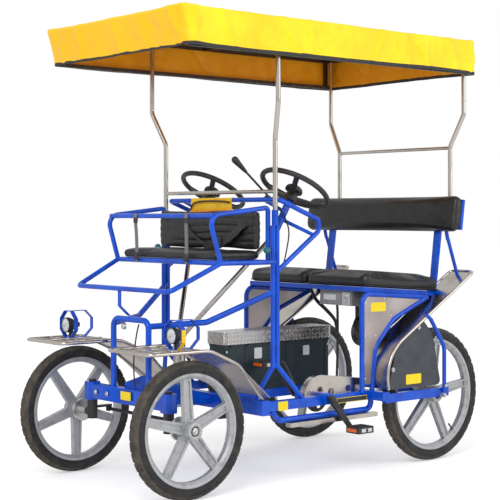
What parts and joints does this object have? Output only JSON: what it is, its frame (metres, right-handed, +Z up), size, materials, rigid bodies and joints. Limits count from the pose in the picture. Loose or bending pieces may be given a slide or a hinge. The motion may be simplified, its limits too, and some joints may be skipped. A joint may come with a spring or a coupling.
{
  "type": "four-wheel pedal quadricycle",
  "caption": "Side-by-side pedal quadricycle: tube frame, canopy on bent poles, two steering wheels on linked front knuckles, child seat in front, bench behind, lidded box between the riders.",
  "frame": {"origin": "bottom centre of the bounding box, on the floor", "axes": "+X to the riders' left, +Y to the rear, +Z up"},
  "size_m": [1.016, 1.881, 1.846],
  "materials": {
    "blue_paint": "gloss royal blue paint",
    "stainless": "polished stainless tube",
    "cast_alloy": "painted cast alloy",
    "tyre_rubber": "moulded rubber",
    "black_steel": "satin black coat",
    "black_plastic": "grained moulding",
    "vinyl": "grained coated cloth",
    "canopy_cloth": "coated canvas",
    "plate_alloy": "tread plate",
    "lamp_lens": "clear moulded"
  },
  "bodies": {
    "chassis": {"front_beam": "blue_paint", "chassis_frame": "blue_paint", "front_frame": "blue_paint", "front_mudguards": "stainless", "headlamps": "lamp_lens", "lamp_guards": "blue_paint", "storage_box": "blue_paint", "side_panels": "blue_paint", "rear_mudguards": "stainless", "rear_axles": "stainless", "bench_frame": "blue_paint", "bench_cushions": "vinyl", "backrest_pad": "vinyl", "backrest_frame": "blue_paint", "canopy_frame": "blue_paint", "canopy_poles": "stainless", "canopy": "canopy_cloth", "dash_frame": "blue_paint", "dash_plate": "blue_paint", "child_seat_frame": "blue_paint", "child_seat_cushion": "vinyl", "child_backrest": "black_plastic", "battery_case": "black_plastic", "drive_motor": "black_steel", "chain_guards": "stainless", "side_boards": "stainless", "wheel_guards": "stainless", "name_plates": "black_plastic", "brake_lever": "black_steel", "steering_shafts": "stainless"},
    "box_lid": {"box_lid": "plate_alloy"},
    "steering_left": {"steering_wheel_left": "black_plastic"},
    "steering_right": {"steering_wheel_right": "black_plastic"},
    "knuckle_left": {"knuckle_left": "black_steel"},
    "knuckle_right": {"knuckle_right": "black_steel"},
    "tie_rod": {"tie_rod": "black_steel"},
    "wheel_front_left": {"rim_front_left": "cast_alloy", "tyre_front_left": "tyre_rubber"},
    "wheel_front_right": {"rim_front_right": "cast_alloy", "tyre_front_right": "tyre_rubber"},
    "wheel_rear_left": {"rim_rear_left": "cast_alloy", "tyre_rear_left": "tyre_rubber"},
    "wheel_rear_right": {"rim_rear_right": "cast_alloy", "tyre_rear_right": "tyre_rubber"},
    "cranks_left": {"cranks_left": "black_steel"},
    "pedal_left_outer": {"pedal_left_outer": "black_plastic"},
    "pedal_left_inner": {"pedal_left_inner": "black_plastic"},
    "cranks_right": {"cranks_right": "black_steel"},
    "pedal_right_outer": {"pedal_right_outer": "black_plastic"},
    "pedal_right_inner": {"pedal_right_inner": "black_plastic"}
  },
  "joints": [
    {"name": "steer_left", "type": "hinge", "parent": "chassis", "child": "steering_left", "pos_m": [0.27, -0.0675, 1.128], "axis": [0, 0.5156, 0.8569], "range_deg": [-50, 50]},
    {"name": "steer_right", "type": "hinge", "parent": "chassis", "child": "steering_right", "pos_m": [-0.27, -0.0675, 1.128], "axis": [0, 0.5156, 0.8569], "range_deg": [-50, 50]},
    {"name": "kingpin_left", "type": "hinge", "parent": "chassis", "child": "knuckle_left", "pos_m": [0.262, -0.6785, 0.35], "axis": [0, 0, 1], "range_deg": [-30, 30]},
    {"name": "kingpin_right", "type": "hinge", "parent": "chassis", "child": "knuckle_right", "pos_m": [-0.262, -0.6785, 0.35], "axis": [0, 0, 1], "range_deg": [-30, 30]},
    {"name": "tie_rod_pin", "type": "hinge", "parent": "knuckle_left", "child": "tie_rod", "pos_m": [0.262, -0.5965, 0.266], "axis": [0, 0, 1], "range_deg": [-30, 30]},
    {"name": "wheel_front_left", "type": "hinge", "parent": "knuckle_left", "child": "wheel_front_left", "pos_m": [0.385, -0.6785, 0.262], "axis": [1, 0, 0], "continuous": true},
    {"name": "wheel_front_right", "type": "hinge", "parent": "knuckle_right", "child": "wheel_front_right", "pos_m": [-0.385, -0.6785, 0.262], "axis": [1, 0, 0], "continuous": true},
    {"name": "wheel_rear_left", "type": "hinge", "parent": "chassis", "child": "wheel_rear_left", "pos_m": [0.397, 0.6515, 0.289], "axis": [1, 0, 0], "continuous": true},
    {"name": "wheel_rear_right", "type": "hinge", "parent": "chassis", "child": "wheel_rear_right", "pos_m": [-0.397, 0.6515, 0.289], "axis": [1, 0, 0], "continuous": true},
    {"name": "cranks_left", "type": "hinge", "parent": "chassis", "child": "cranks_left", "pos_m": [0.3, 0.0365, 0.32], "axis": [1, 0, 0], "continuous": true},
    {"name": "pedal_left_outer", "type": "hinge", "parent": "cranks_left", "child": "pedal_left_outer", "pos_m": [0.46625, 0.14803, 0.1917], "axis": [1, 0, 0], "continuous": true},
    {"name": "pedal_left_inner", "type": "hinge", "parent": "cranks_left", "child": "pedal_left_inner", "pos_m": [0.13575, -0.07503, 0.4483], "axis": [1, 0, 0], "continuous": true},
    {"name": "cranks_right", "type": "hinge", "parent": "chassis", "child": "cranks_right", "pos_m": [-0.3, 0.0365, 0.32], "axis": [1, 0, 0], "continuous": true},
    {"name": "pedal_right_outer", "type": "hinge", "parent": "cranks_right", "child": "pedal_right_outer", "pos_m": [-0.46625, 0.1648, 0.43153], "axis": [1, 0, 0], "continuous": true},
    {"name": "pedal_right_inner", "type": "hinge", "parent": "cranks_right", "child": "pedal_right_inner", "pos_m": [-0.13575, -0.0918, 0.20847], "axis": [1, 0, 0], "continuous": true},
    {"name": "box_lid", "type": "hinge", "parent": "chassis", "child": "box_lid", "pos_m": [0, 0.3765, 0.53], "axis": [-1, 0, 0], "range_deg": [0, 45]}
  ],
  "couplings": [
    {"joint": "steer_right", "follows": "steer_left", "ratio": 1},
    {"joint": "kingpin_left", "follows": "steer_left", "ratio": 0.6},
    {"joint": "kingpin_right", "follows": "steer_left", "ratio": 0.6},
    {"joint": "tie_rod_pin", "follows": "steer_left", "ratio": -0.6}
  ]
}
